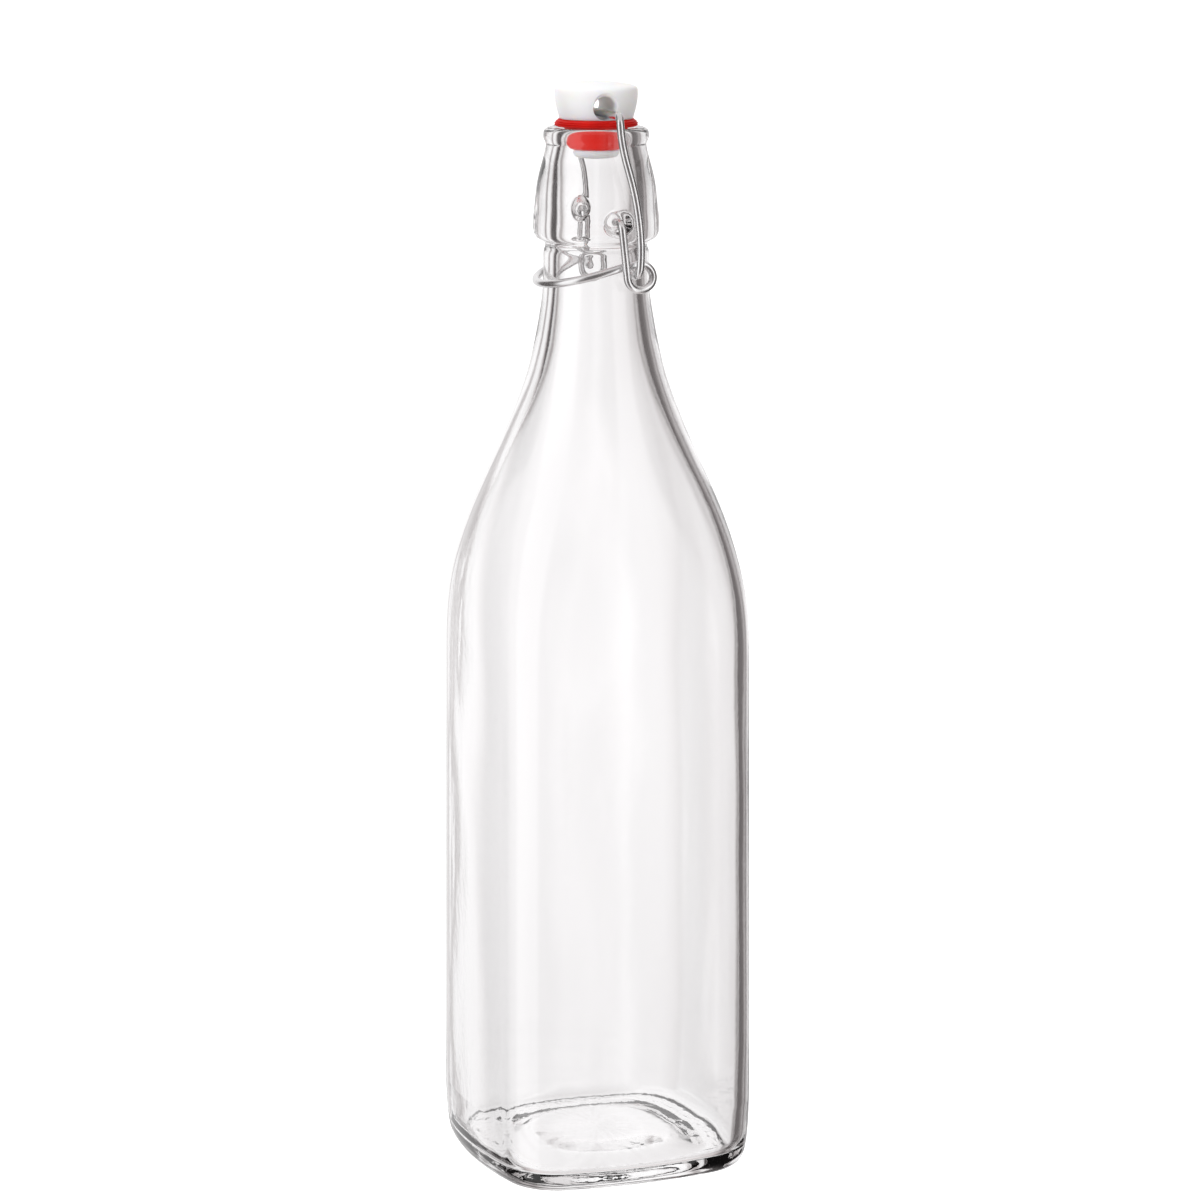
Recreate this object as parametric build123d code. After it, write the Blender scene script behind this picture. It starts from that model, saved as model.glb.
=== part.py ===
from build123d import *
import math
import os

# Swing-top glass bottle: square body, round neck, stopper with gasket, lever wire and yoke wire.
# Millimetres. Origin at the centre of the resting face, +Z up, flat sides square to X and Y,
# closure pivot axis along Y, pull handle on the -X side.

# ---------------------------------------------------------------- glass body
HALF_MID = 41.15        # half width at the middle of a side
CORNER_C = 20.36        # corner arc centre, on both axes
CORNER_R = 18.9         # corner arc radius
FULL_SQUARENESS = CORNER_C / (CORNER_C + CORNER_R)
SIDE_CROWN = HALF_MID - CORNER_C - CORNER_R     # how far each side bows outwards
DIAGONAL_GAIN = 0.2970  # growth of the silhouette over corner centre + radius, per squareness
SHOULDER_Z0 = 148.0     # the square section starts to turn round here
SHOULDER_Z1 = 240.0     # and is fully round here
MIN_CORNER_C = 0.05     # a section with a smaller corner centre counts as a circle
OUTLINE_POINTS = 48     # spline points round each section
FLOOR_Z = 4.6           # inside floor height beside the walls
FLOOR_RISE = 2.0        # how far the floor crowns towards its middle
PUNT = 1.9              # hollow under the base

# (z, half of the diagonal-on silhouette of the outer body)
SILHOUETTE = [
    (148, 45.30), (154, 45.15), (160, 44.98), (166, 44.25), (172, 43.05), (178, 41.6),
    (184, 39.8), (190, 37.65), (196, 35.05), (202, 32.45), (208, 29.75), (214, 27.3),
    (220, 24.65), (226, 22.3), (232, 20.35), (240, 18.55),
]
# (z, inset of the outer wall towards the resting ring)
FOOT_INSET = [
    (0.0, 5.6), (0.35, 4.2), (1.2, 2.95), (2.6, 2.05), (4.6, 1.35), (8.0, 0.78),
    (12.0, 0.40), (17.0, 0.14), (24.0, 0.0),
]
# (z, wall thickness); the wall below is as thick as the first entry
WALLS = [(148, 3.6), (178, 3.9), (208, 4.3), (232, 4.6), (240, 4.5)]
# (height above FLOOR_Z, extra inset rounding the wall into the floor)
FLOOR_ROUND = [(0.0, 5.2), (0.25, 3.9), (0.9, 2.5), (2.2, 1.3), (4.4, 0.55), (8.0, 0.2)]

# heights of the loft sections
FOOT_Z = [0.0, 0.35, 0.8, 1.2, 1.9, 2.6, 3.6, 4.6, 6.2, 8.0, 10.0, 12.0, 14.5, 17.0, 20.0, 24.0]
SHOULDER_Z = [*range(148, 191, 3), *range(194, 235, 4), 237, 240]

# ---------------------------------------------------------------- neck, collar and lip
LIP_R = 15.8
LIP_TOP = 304.3
BORE_R = 12.0           # bore of the neck
MOUTH_R = 10.6          # bore at the mouth
DIMPLE_Z = 277.0        # blind pivot holes in the collar
DIMPLE_R = 3.1
DIMPLE_FLOOR = 14.1     # |Y| of the bottom of each pivot hole
DIMPLE_DEPTH = 8.0      # length of the cutter, out past the collar

# closed outlines as (radius, z)
NECK_OUTLINE = [
    (0, 239.0), (18.40, 239.0),
    # neck
    (17.75, 244), (17.05, 248), (16.5, 251.4), (16.0, 255), (15.8, 259.5), (15.8, 266.5),
    # root under the collar
    (15.85, 267.6), (16.3, 269.2), (17.2, 270.9),
    # collar
    (18.55, 272.2), (18.88, 273.4), (18.95, 275.5), (18.65, 279), (18.35, 281.8),
    (18.0, 285.4), (17.4, 289), (16.55, 292.5), (15.65, 296), (15.15, 298.4),
    # lip
    (15.2, 299.2), (LIP_R - 0.25, 300.2), (LIP_R, 301.3), (LIP_R, 302.5),
    (LIP_R - 0.45, 303.5), (LIP_R - 1.3, 304.1), (LIP_R - 2.3, LIP_TOP), (0, LIP_TOP),
]
BORE_OUTLINE = [
    (0, 239.5), (14.0, 239.5), (13.4, 246.0), (12.35, 254.0), (BORE_R, 260.0),
    (BORE_R, 289.0), (11.6, 294.0), (MOUTH_R, 299.0), (MOUTH_R, 302.7),
    (MOUTH_R + 0.25, 303.5), (MOUTH_R + 0.9, 304.1), (MOUTH_R + 1.3, 305.0), (0, 305.0),
]
PUNT_OUTLINE = [
    (0, -1), (26.0, -1), (26.0, 0.0), (24.0, 0.25), (18.0, PUNT * 0.7),
    (10.0, PUNT * 0.95), (0, PUNT),
]
FLOOR_OUTLINE = [
    (0, FLOOR_Z - 0.6), (30.5, FLOOR_Z - 0.6), (30.0, FLOOR_Z + 0.02),
    (25.0, FLOOR_Z + FLOOR_RISE * 0.22), (17.0, FLOOR_Z + FLOOR_RISE * 0.66),
    (9.0, FLOOR_Z + FLOOR_RISE * 0.93), (0, FLOOR_Z + FLOOR_RISE),
]

# ---------------------------------------------------------------- stopper and gasket
STOP_BASE = 306.75      # underside of the cap
STEM_Z0 = 297.0
STEM_R = 4.2
STEM_OVERLAP = 0.5      # stem runs this far up into the cap
HEAD_R = 6.85           # retaining head under the stem
CROSS_BORE_Z = 310.35
CROSS_BORE_R = 3.35
CROSS_BORE_LENGTH = 40
CROSS_BORE_YAW = -6.0   # degrees the cross bore has turned about Z
FLARE_Y = 11.4          # |Y| of the middle of each flare of the cross bore
FLARE_LENGTH = 4.0
GASKET_BASE = 304.85    # underside of the gasket flange
GASKET_R = STEM_R + 0.05    # hole in the gasket

CAP_OUTLINE = [
    (0, STOP_BASE), (11.0, STOP_BASE), (11.15, 307.2), (11.5, 308.8), (11.95, 311.0),
    (12.25, 313.0), (12.45, 314.7), (12.35, 315.4), (11.95, 316.0), (11.2, 316.45),
    (9.0, 317.0), (5.0, 317.7), (0, 317.95),
]
HEAD_OUTLINE = [
    (0, 294.5), (5.0, 294.5), (6.2, 294.85), (HEAD_R, 295.6), (HEAD_R, 297.0),
    (6.4, 297.4), (0, 297.4),
]
GASKET_OUTLINE = [
    # plug
    (GASKET_R, 297.5), (7.0, 297.5), (7.6, 297.8), (7.9, 298.5), (8.7, 301.0),
    (9.35, 303.4), (9.4, 304.2),
    # ribbed flange
    (9.7, GASKET_BASE), (11.7, GASKET_BASE), (12.2, 304.95), (12.3, 305.05),
    (12.1, 305.17), (12.5, 305.3), (12.5, 305.5), (12.05, 305.65), (12.2, 305.85),
    (12.0, 306.05), (11.5, 306.25), (11.35, 306.45), (11.35, 306.7), (GASKET_R, 306.7),
]

# ---------------------------------------------------------------- wires
WIRE_R = 1.2

# lever wire
PIVOT_X, PIVOT_Z = 0.0, 277.2   # lever turns in the collar holes
PIVOT_TIP_Y = 15.2
PIVOT_BEND_R = 2.4
LEG_Y = 20.6
ARM_Y = 18.1
LOOP_X, LOOP_Z = 6.2, 261.1     # loop centre
LOOP_RX = 4.4                   # loops are a little wider than tall
LOOP_RZ = 3.75
LOOP_STEP = 67.5                # degrees between loop points
LOOP_SHARES = (0, 1 / 6, 3 / 6, 5 / 6, 1)   # progress from LEG_Y to ARM_Y at each loop point
HANDLE_RX = 17.9
HANDLE_DROP = 1.15              # handle below the loop tops at X = 0
HANDLE_FALL = 0.296559          # drop per mm towards -X
HANDLE_ANGLES = (97.5, 120, 150, 180, 210, 240, 262.5)

# yoke wire
LINK_X, LINK_Z = 4.6, 261.7     # hooks of the yoke turn in the lever's loops
CROSS_X, CROSS_Z = -0.3, 308.75     # crossbar that carries the stopper
CROSS_HALF = 18.4               # half length of the straight crossbar
HOOK_TIP_Y = 17.2
YOKE_Y = 23.08
HOOK_BEND_Y = YOKE_Y - 2.2      # the hook starts to turn into the leg here
# (x, y, z) down the +Y leg, from just below the crossbar to just above the hook
YOKE_LEG = [
    (-0.55, 20.75, 306.3), (-0.3, 20.95, 303.0), (0.45, 21.35, 298.0), (2.75, 22.35, 288.3),
    (4.3, YOKE_Y, 279.0), (5.0, YOKE_Y, 271.7), (4.85, YOKE_Y, 264.3),
]
LEG_FOOT_DIR = Vector(-0.095, 0, -0.9955)   # downward direction at the leg's lower end


# ---------------------------------------------------------------- shared helpers
def interpolate(rows, z):
    """Value at z in a table of (z, value), held constant beyond both ends."""
    if z <= rows[0][0]:
        return rows[0][1]
    for (z0, value0), (z1, value1) in zip(rows[:-1], rows[1:]):
        if z <= z1:
            return value0 + (value1 - value0) * ((z - z0) / (z1 - z0))
    return rows[-1][1]


def revolve_profile(points):
    """Solid of revolution about Z from a closed outline of (radius, z)."""
    outline = Polyline(*[(radius, 0, z) for radius, z in points], close=True)
    return revolve(make_face(outline), Axis.Z)


def mirrored(point):
    """The same point on the other side of the XZ plane."""
    return Vector(point.X, -point.Y, point.Z)


def rod(edges):
    """Round wire swept along connected edges."""
    path = Wire(edges)
    plane = Plane(origin=path @ 0, z_dir=path % 0)
    return sweep(plane * Circle(WIRE_R), path=path)


# ---------------------------------------------------------------- glass bottle
def squareness(z):
    """Corner centre as a share of centre + radius: full below the shoulder, 0 where round."""
    t = min(1.0, max(0.0, (z - SHOULDER_Z0) / (SHOULDER_Z1 - SHOULDER_Z0)))
    return FULL_SQUARENESS * (1 - t * t * (3 - 2 * t))


def section_sizes(z):
    """Corner centre, corner radius and mid-side half width of the outer section at z."""
    square = squareness(z)
    total = interpolate(SILHOUETTE, z) / (1 + DIAGONAL_GAIN * square)
    centre = square * total
    crown = SIDE_CROWN * square / FULL_SQUARENESS
    inset = interpolate(FOOT_INSET, z)
    return centre, total - centre - inset, total + crown - inset


def section_radius(centre, corner_r, half_width, angle):
    """Distance from the axis to the rounded square outline in one direction."""
    if centre < MIN_CORNER_C:
        return centre + corner_r
    angle %= math.pi / 2
    if angle > math.pi / 4:
        angle = math.pi / 2 - angle
    # shallow side arc, centred on the axis of the side and tangent to the corner arc
    gap = centre - half_width
    side_r = (corner_r ** 2 - gap ** 2 - centre ** 2) / (2 * (gap + corner_r))
    side_x = half_width - side_r
    reach = math.hypot(centre - side_x, centre)
    tangent_x = side_x + side_r * (centre - side_x) / reach
    tangent_y = side_r * centre / reach
    if angle <= math.atan2(tangent_y, tangent_x):
        arc_x, arc_y, arc_r = side_x, 0.0, side_r
    else:
        arc_x, arc_y, arc_r = centre, centre, corner_r
    along = math.cos(angle) * arc_x + math.sin(angle) * arc_y
    return along + math.sqrt(max(0.0, along ** 2 - (arc_x ** 2 + arc_y ** 2) + arc_r ** 2))


def section_wire(z, offset=0.0):
    """Outline at z, set in from the outer wall by offset."""
    centre, corner_r, half_width = section_sizes(z)
    points = []
    for i in range(OUTLINE_POINTS):
        angle = 2 * math.pi * i / OUTLINE_POINTS
        radius = section_radius(centre, corner_r - offset, half_width - offset, angle)
        points.append((radius * math.cos(angle), radius * math.sin(angle), z))
    return Wire([Spline(*points, periodic=True)])


def make_bottle():
    body = Solid.make_loft([section_wire(z) for z in FOOT_Z + SHOULDER_Z], ruled=True)

    stations = [(FLOOR_Z + rise, extra) for rise, extra in FLOOR_ROUND]
    stations += [(z, 0.0) for z in [24.0] + SHOULDER_Z]
    cavity = Solid.make_loft(
        [section_wire(z, interpolate(WALLS, z) + extra) for z, extra in stations], ruled=True)

    bottle = body + revolve_profile(NECK_OUTLINE)
    bottle = bottle - cavity
    bottle = bottle - revolve_profile(BORE_OUTLINE)
    bottle = bottle + revolve_profile(FLOOR_OUTLINE)
    bottle = bottle - revolve_profile(PUNT_OUTLINE)
    for side in (-1, 1):
        plane = Plane(origin=(PIVOT_X, side * DIMPLE_FLOOR, DIMPLE_Z), z_dir=(0, side, 0))
        bottle = bottle - plane * Cylinder(
            DIMPLE_R, DIMPLE_DEPTH, align=(Align.CENTER, Align.CENTER, Align.MIN))
    return bottle


# ---------------------------------------------------------------- stopper and gasket
def make_stopper():
    """Cap, stem and retaining head, with a flared cross bore for the yoke."""
    stopper = revolve_profile(CAP_OUTLINE)
    stopper += Pos(0, 0, STEM_Z0) * Cylinder(
        STEM_R, STOP_BASE - STEM_Z0 + STEM_OVERLAP,
        align=(Align.CENTER, Align.CENTER, Align.MIN))
    stopper += revolve_profile(HEAD_OUTLINE)

    yaw = Rot(0, 0, CROSS_BORE_YAW)
    plane = Plane(origin=(0, 0, CROSS_BORE_Z), z_dir=(0, 1, 0))
    stopper = stopper - yaw * (plane * Cylinder(CROSS_BORE_R, CROSS_BORE_LENGTH))
    for side in (-1, 1):
        plane = Plane(origin=(0, side * FLARE_Y, CROSS_BORE_Z), z_dir=(0, side, 0))
        flare = Cone(CROSS_BORE_R - 0.6, CROSS_BORE_R + 1.4, FLARE_LENGTH)
        stopper = stopper - yaw * (plane * flare)
    return stopper


def make_gasket():
    return revolve_profile(GASKET_OUTLINE)


# ---------------------------------------------------------------- lever wire
def bent_run(start, corner, end, radius):
    """Two straight runs joined by a round bend at the corner."""
    arriving = (corner - start).normalized()
    leaving = (end - corner).normalized()
    half_turn = math.radians(arriving.get_angle(leaving)) / 2
    cut = radius * math.tan(half_turn)
    bend_start = corner - arriving * cut
    bend_end = corner + leaving * cut
    inward = (leaving - arriving).normalized()
    middle = corner + inward * (radius / math.cos(half_turn) - radius)
    return [
        Line(start, bend_start),
        ThreePointArc(bend_start, middle, bend_end),
        Line(bend_end, end),
    ]


def tangent_arcs(points, tangent):
    """(start, middle, end) of arcs through the points, each tangent to the one before,
    and the direction at the end."""
    arcs = []
    for start, end in zip(points[:-1], points[1:]):
        chord = end - start
        direction = chord.normalized()
        along = tangent.dot(direction)
        sideways = (tangent - direction * along).normalized()
        angle = math.acos(max(-1.0, min(1.0, along)))
        rise = chord.length / 2 * math.tan(angle / 2)
        arcs.append((start, start + chord * 0.5 + sideways * rise, end))
        tangent = direction * (2 * along) - tangent
    return arcs, tangent


def make_lever():
    """Pivots, legs and loops on both sides, joined by the pull handle."""
    # from the -X end of the loop, under and round to its top, stepping towards the neck
    loop = []
    for i, share in enumerate(LOOP_SHARES):
        angle = math.radians(180 + LOOP_STEP * i)
        loop.append(Vector(LOOP_X + LOOP_RX * math.cos(angle),
                           LEG_Y + (ARM_Y - LEG_Y) * share,
                           LOOP_Z + LOOP_RZ * math.sin(angle)))
    leg_dir = Vector(loop[0].X - PIVOT_X, 0, loop[0].Z - PIVOT_Z).normalized()
    arcs, arm_dir = tangent_arcs(loop, leg_dir)

    # from +Y through -X to -Y
    handle = []
    for degrees in HANDLE_ANGLES:
        angle = math.radians(degrees)
        x = HANDLE_RX * math.cos(angle)
        z = LOOP_Z + LOOP_RZ - HANDLE_DROP + x * HANDLE_FALL
        handle.append(Vector(x, ARM_Y * math.sin(angle), z))

    tip = Vector(PIVOT_X, PIVOT_TIP_Y, PIVOT_Z)
    corner = Vector(PIVOT_X, LEG_Y, PIVOT_Z)
    edges = bent_run(tip, corner, loop[0], PIVOT_BEND_R)
    edges += [ThreePointArc(*arc) for arc in arcs]
    edges.append(Spline(loop[-1], *handle, mirrored(loop[-1]),
                        tangents=[arm_dir, -mirrored(arm_dir)]))
    edges += [ThreePointArc(*[mirrored(p) for p in reversed(arc)]) for arc in reversed(arcs)]
    edges += bent_run(mirrored(loop[0]), mirrored(corner), mirrored(tip), PIVOT_BEND_R)
    return rod(edges)


# ---------------------------------------------------------------- yoke wire
def bend(start, start_dir, end, end_dir):
    return Spline(start, end, tangents=[start_dir, end_dir], tangent_scalars=[1.0, 1.0])


def make_yoke():
    """Inward hooks, bowed legs and crossbar, run from the +Y hook to the -Y hook."""
    tip = Vector(LINK_X, HOOK_TIP_Y, LINK_Z)
    hook = Vector(LINK_X, HOOK_BEND_Y, LINK_Z)
    bar = Vector(CROSS_X, CROSS_HALF, CROSS_Z)
    leg = [Vector(*point) for point in YOKE_LEG]
    leg_dir = (leg[1] - leg[0]).normalized()
    far_leg = [mirrored(point) for point in leg]
    far_leg_dir = mirrored(leg_dir)
    plus_y = Vector(0, 1, 0)
    return rod([
        Line(tip, hook),
        bend(hook, plus_y, leg[-1], -LEG_FOOT_DIR),
        Spline(*reversed(leg), tangents=[-LEG_FOOT_DIR, -leg_dir]),
        bend(leg[0], -leg_dir, bar, -plus_y),
        Line(bar, mirrored(bar)),
        bend(mirrored(bar), -plus_y, far_leg[0], far_leg_dir),
        Spline(*far_leg, tangents=[far_leg_dir, LEG_FOOT_DIR]),
        bend(far_leg[-1], LEG_FOOT_DIR, mirrored(hook), plus_y),
        Line(mirrored(hook), mirrored(tip)),
    ])


# ---------------------------------------------------------------- one file for each piece
PIECES = {
    "glass_bottle": make_bottle,
    "stopper": make_stopper,
    "gasket": make_gasket,
    "lever_wire": make_lever,
    "yoke_wire": make_yoke,
}
os.makedirs("parts", exist_ok=True)
for name, make in PIECES.items():
    export_step(make(), os.path.join("parts", name + ".step"))
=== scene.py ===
import bpy
import bmesh
import math
import numpy as np
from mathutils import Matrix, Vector


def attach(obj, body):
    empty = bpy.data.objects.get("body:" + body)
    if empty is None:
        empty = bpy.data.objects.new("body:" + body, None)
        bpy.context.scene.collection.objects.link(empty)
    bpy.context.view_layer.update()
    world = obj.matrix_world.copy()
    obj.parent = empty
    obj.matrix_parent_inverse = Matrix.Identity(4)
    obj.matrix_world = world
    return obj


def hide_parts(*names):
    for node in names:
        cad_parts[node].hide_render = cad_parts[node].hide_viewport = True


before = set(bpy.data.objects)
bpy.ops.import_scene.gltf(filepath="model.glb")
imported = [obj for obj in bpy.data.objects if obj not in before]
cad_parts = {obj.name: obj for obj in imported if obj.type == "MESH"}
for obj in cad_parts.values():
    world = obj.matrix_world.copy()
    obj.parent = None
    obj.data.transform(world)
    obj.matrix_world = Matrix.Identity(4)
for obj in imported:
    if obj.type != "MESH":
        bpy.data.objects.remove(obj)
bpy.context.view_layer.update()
MM = 0.001
rng = np.random.RandomState(7)

# ====================================================================== small maths helpers
def pchip(xs, ys, x):
    """monotone cubic through (xs, ys), evaluated at x"""
    xs, ys, x = np.asarray(xs, float), np.asarray(ys, float), np.asarray(x, float)
    h, d = np.diff(xs), np.diff(ys) / np.diff(xs)
    m = np.zeros(len(xs))
    for i in range(1, len(xs) - 1):
        if d[i - 1] * d[i] > 0:
            w1, w2 = 2 * h[i] + h[i - 1], h[i] + 2 * h[i - 1]
            m[i] = (w1 + w2) / (w1 / d[i - 1] + w2 / d[i])
    m[0], m[-1] = d[0] if d[0] != 0 else 0, d[-1]
    i = np.clip(np.searchsorted(xs, x, side="right") - 1, 0, len(xs) - 2)
    t = (x - xs[i]) / h[i]
    return ((1 + 2 * t) * (1 - t) ** 2 * ys[i] + t * (1 - t) ** 2 * h[i] * m[i]
            + t * t * (3 - 2 * t) * ys[i + 1] + t * t * (t - 1) * h[i] * m[i + 1])


def spline(points, step, t0=None, t1=None):
    """points of any dimension joined by a C2 cubic over chord length, sampled about every step"""
    p = np.asarray(points, float)
    n = len(p)
    u = np.concatenate([[0], np.cumsum(np.linalg.norm(np.diff(p, axis=0), axis=1))])
    h = np.diff(u)
    a = np.zeros((n, n))
    b = np.zeros_like(p)
    if t0 is None:
        a[0, 0], a[0, 1] = 2, 1
        b[0] = 3 * (p[1] - p[0]) / h[0]
    else:
        a[0, 0] = 1
        b[0] = np.asarray(t0, float) / np.linalg.norm(t0)
    if t1 is None:
        a[-1, -1], a[-1, -2] = 2, 1
        b[-1] = 3 * (p[-1] - p[-2]) / h[-1]
    else:
        a[-1, -1] = 1
        b[-1] = np.asarray(t1, float) / np.linalg.norm(t1)
    for i in range(1, n - 1):
        a[i, i - 1], a[i, i], a[i, i + 1] = h[i], 2 * (h[i - 1] + h[i]), h[i - 1]
        b[i] = 3 * (h[i] * (p[i] - p[i - 1]) / h[i - 1] + h[i - 1] * (p[i + 1] - p[i]) / h[i])
    m = np.linalg.solve(a, b)
    out = []
    for i in range(n - 1):
        k = max(2, int(math.ceil(h[i] / step)))
        for t in np.arange(k) / k:
            out.append((1 + 2 * t) * (1 - t) ** 2 * p[i] + t * (1 - t) ** 2 * h[i] * m[i]
                       + t * t * (3 - 2 * t) * p[i + 1] + t * t * (t - 1) * h[i] * m[i + 1])
    out.append(p[-1])
    return np.array(out)


def smooth(a, b, x):
    t = np.clip((np.asarray(x, float) - a) / (b - a), 0, 1)
    return t * t * (3 - 2 * t)


def mesh_object(name, verts, faces, uvs=None, smooth_shade=True):
    me = bpy.data.meshes.new(name)
    me.from_pydata([tuple(v) for v in verts], [], faces)
    if uvs is not None:
        layer = me.uv_layers.new(name="wrap")
        for poly in me.polygons:
            for li in poly.loop_indices:
                layer.data[li].uv = uvs[me.loops[li].vertex_index]
    me.update()
    me.validate()
    if smooth_shade:
        me.polygons.foreach_set("use_smooth", [True] * len(me.polygons))
    ob = bpy.data.objects.new(name, me)
    bpy.context.scene.collection.objects.link(ob)
    return ob


# ====================================================================== glass bottle
HALF_MID, CORNER_C, CORNER_R = 41.15, 20.36, 18.9
Z0, Z1 = 148.0, 240.0
K0 = CORNER_C / (CORNER_C + CORNER_R)
SIL_Z = [140, 148, 154, 160, 166, 172, 178, 184, 190, 196, 202, 208, 214, 220, 226, 232, 240, 244]
SIL_S = [45.30, 45.30, 45.21, 44.92, 44.30, 43.22, 41.72, 39.88, 37.68, 35.15, 32.45, 29.72, 27.10, 24.62, 22.35, 20.42, 18.55, 17.80]


def section_numbers(z):
    z = float(z)
    k = K0 * (1 - float(smooth(Z0, Z1, z)))
    s = 45.30 if z <= Z0 else float(pchip(SIL_Z, SIL_S, z))
    total = s / (1 + 0.2970 * k)
    c = k * total
    return c, total - c, total + (HALF_MID - CORNER_C - CORNER_R) * k / K0


def section_radius(c, r, w, phi):
    """outline radius of the rounded square in the directions phi"""
    a = np.mod(phi, math.pi / 2)
    a = np.where(a > math.pi / 4, math.pi / 2 - a, a)
    if c < 0.05 or r <= 0.2:
        return np.full(len(phi), c + r)
    cp = c - w
    if abs(cp + r) < 1e-4:
        cp = -r - 1e-4
    rs = (r * r - cp * cp - c * c) / (2 * (cp + r))
    d = math.hypot(c - (w - rs), c)
    tx, ty = (w - rs) + rs * (c - (w - rs)) / d, rs * c / d
    side = a <= math.atan2(ty, tx)
    cx, cy, rr = np.where(side, w - rs, c), np.where(side, 0.0, c), np.where(side, rs, r)
    b = np.cos(a) * cx + np.sin(a) * cy
    return b + np.sqrt(np.maximum(0, b * b - (cx * cx + cy * cy) + rr * rr))


NC = 224
u = 2 * math.pi * np.arange(NC) / NC
PHI = u + 0.5 * 0.42 * np.sin(2 * u)                   # columns crowd round the pivot holes at +-Y
COS, SIN = np.cos(PHI), np.sin(PHI)

wave = [(rng.uniform(0, 6.28), rng.randint(1, 6), rng.uniform(0.02, 0.075), rng.uniform(0, 6.28)) for _ in range(9)]


def ripple(z, amp):
    """slow unevenness that blown glass has on its inner wall"""
    s = np.zeros(NC)
    for p, n, kz, q in wave:
        s += np.sin(n * PHI + p + 2.0 * math.sin(kz * z * 0.5 + q)) * math.sin(kz * z + q)
    return amp * s / 3.0


def round_noise(n_rings, amp, soft):
    """seeded stipple, smoothed over neighbours"""
    a = rng.normal(size=(n_rings, NC))
    for _ in range(soft):
        a = (a + np.roll(a, 1, 1) + np.roll(a, -1, 1)) / 3
        a[1:-1] = (a[:-2] + a[1:-1] + a[2:]) / 3
    a /= max(1e-9, np.abs(a).max())
    return a * amp


rings = []                                              # each ring is an (NC, 3) array in mm


def ring(rad, z):
    z = np.broadcast_to(np.asarray(z, float), (NC,))
    return np.stack([rad * COS, rad * SIN, z], 1)


# --- underside: hollow, stippled resting ring, then the tight lower edge
c0, r0, w0 = section_numbers(0)
FOOT = [(5.6, 0.0), (4.6, 0.03), (3.7, 0.3), (2.85, 0.95), (2.15, 1.9), (1.6, 3.1), (1.15, 4.8), (0.78, 7.2), (0.48, 10.2), (0.26, 13.8),
        (0.1, 18.0), (0.02, 22.5), (0.0, 27.0)]
foot = spline(FOOT, 0.75)
inset0 = foot[0][0]
base_sq = section_radius(c0, r0 - inset0, w0 - inset0, PHI)
lam = [0.02, 0.05, 0.09, 0.14, 0.2, 0.27, 0.34, 0.41, 0.48, 0.54, 0.60, 0.65, 0.69, 0.72, 0.745, 0.77, 0.79, 0.81, 0.83, 0.85, 0.865, 0.88,
       0.895, 0.91, 0.925, 0.94, 0.955, 0.97, 0.985]
stip = round_noise(len(lam), 0.30, 0)
mean_r = base_sq.mean()
for i, l in enumerate(lam):
    rad = l * (base_sq * l + mean_r * (1 - l))
    z = 2.1 * (1 - float(smooth(0.50, 0.88, l))) + 0.5 * (1 - l) ** 2
    band = float(smooth(0.80, 0.86, l)) * (1 - float(smooth(0.96, 1.0, l)))
    rings.append(ring(rad, np.maximum(0.0, z + band * (0.22 + stip[i]))))
for inset, z in foot:
    rings.append(ring(section_radius(c0, r0 - inset, w0 - inset, PHI), max(z, 0.0)))
# --- body and shoulder
body_z = list(np.arange(36.0, 146.1, 10.0)) + list(np.arange(148.0, 239.6, 1.5))
for z in body_z:
    c, r, w = section_numbers(z)
    rings.append(ring(section_radius(c, r, w, PHI), z))
# --- neck, collar and lip, out and back in down the bore
PROFILE = [(18.55, 240), (17.75, 244), (17.05, 248), (16.5, 251.4), (16.08, 255), (15.84, 259.5), (15.78, 263.5), (15.8, 266.6), (15.6, 267.9),
           (15.25, 268.9), (15.55, 269.9), (16.6, 270.7), (17.75, 271.4), (18.5, 272.4), (18.85, 273.8), (18.92, 275.6), (18.66, 279), (18.35, 281.9),
           (18.0, 285.4), (17.42, 289), (16.58, 292.5), (15.72, 295.7), (15.25, 297.7), (15.08, 298.7), (15.14, 299.4), (15.45, 300.2), (15.75, 301.0),
           (15.84, 302.0), (15.68, 303.0), (15.2, 303.75), (14.4, 304.18), (13.4, 304.3), (12.4, 304.2), (11.55, 303.85), (10.95, 303.2),
           (10.68, 302.3), (10.6, 301.0), (10.62, 299), (10.95, 296.6), (11.5, 293.9), (11.88, 290.5), (12.0, 286), (12.02, 275), (12.05, 262),
           (12.3, 256), (12.8, 250), (13.45, 244.5), (14.05, 240)]
dense = spline(PROFILE, 0.05, (-1, 4.6), (1, -8.0))
dense[:, 1] = np.minimum(dense[:, 1], 304.3)
top = int(np.argmax(dense[:, 1]))
prof = [dense[0]]
for i, (rad, z) in enumerate(dense):                    # rings crowd where the glass turns tightly
    if i < top:
        gap = 1.5 if z < 265.5 else 0.3 if z < 271.2 else 0.42 if z < 283 else 0.8 if z < 296.5 else 0.3
    else:
        gap = 0.3 if z > 300 else 0.8 if z > 289 else 2.5
    if math.hypot(rad - prof[-1][0], z - prof[-1][1]) >= gap:
        prof.append(dense[i])
prof = np.array(prof)
outer_end = int(np.argmax(prof[:, 1] > 304.25))
for j, (rad, z) in enumerate(prof):
    g = ring(np.full(NC, rad), z)
    if j < outer_end and 271.2 < z < 283.5:             # blind pivot holes on +-Y
        rho = np.hypot(0.87 * g[:, 0], z - 277.0)
        deep = 1 - smooth(2.1, 4.1, rho)
        floor_y = 14.05 + 0.10 * (rho / 2.4) ** 2
        y = np.abs(g[:, 1])
        target = np.minimum(y, floor_y)
        g[:, 1] = np.sign(g[:, 1]) * (y + (target - y) * deep)
    rings.append(g)
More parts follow.
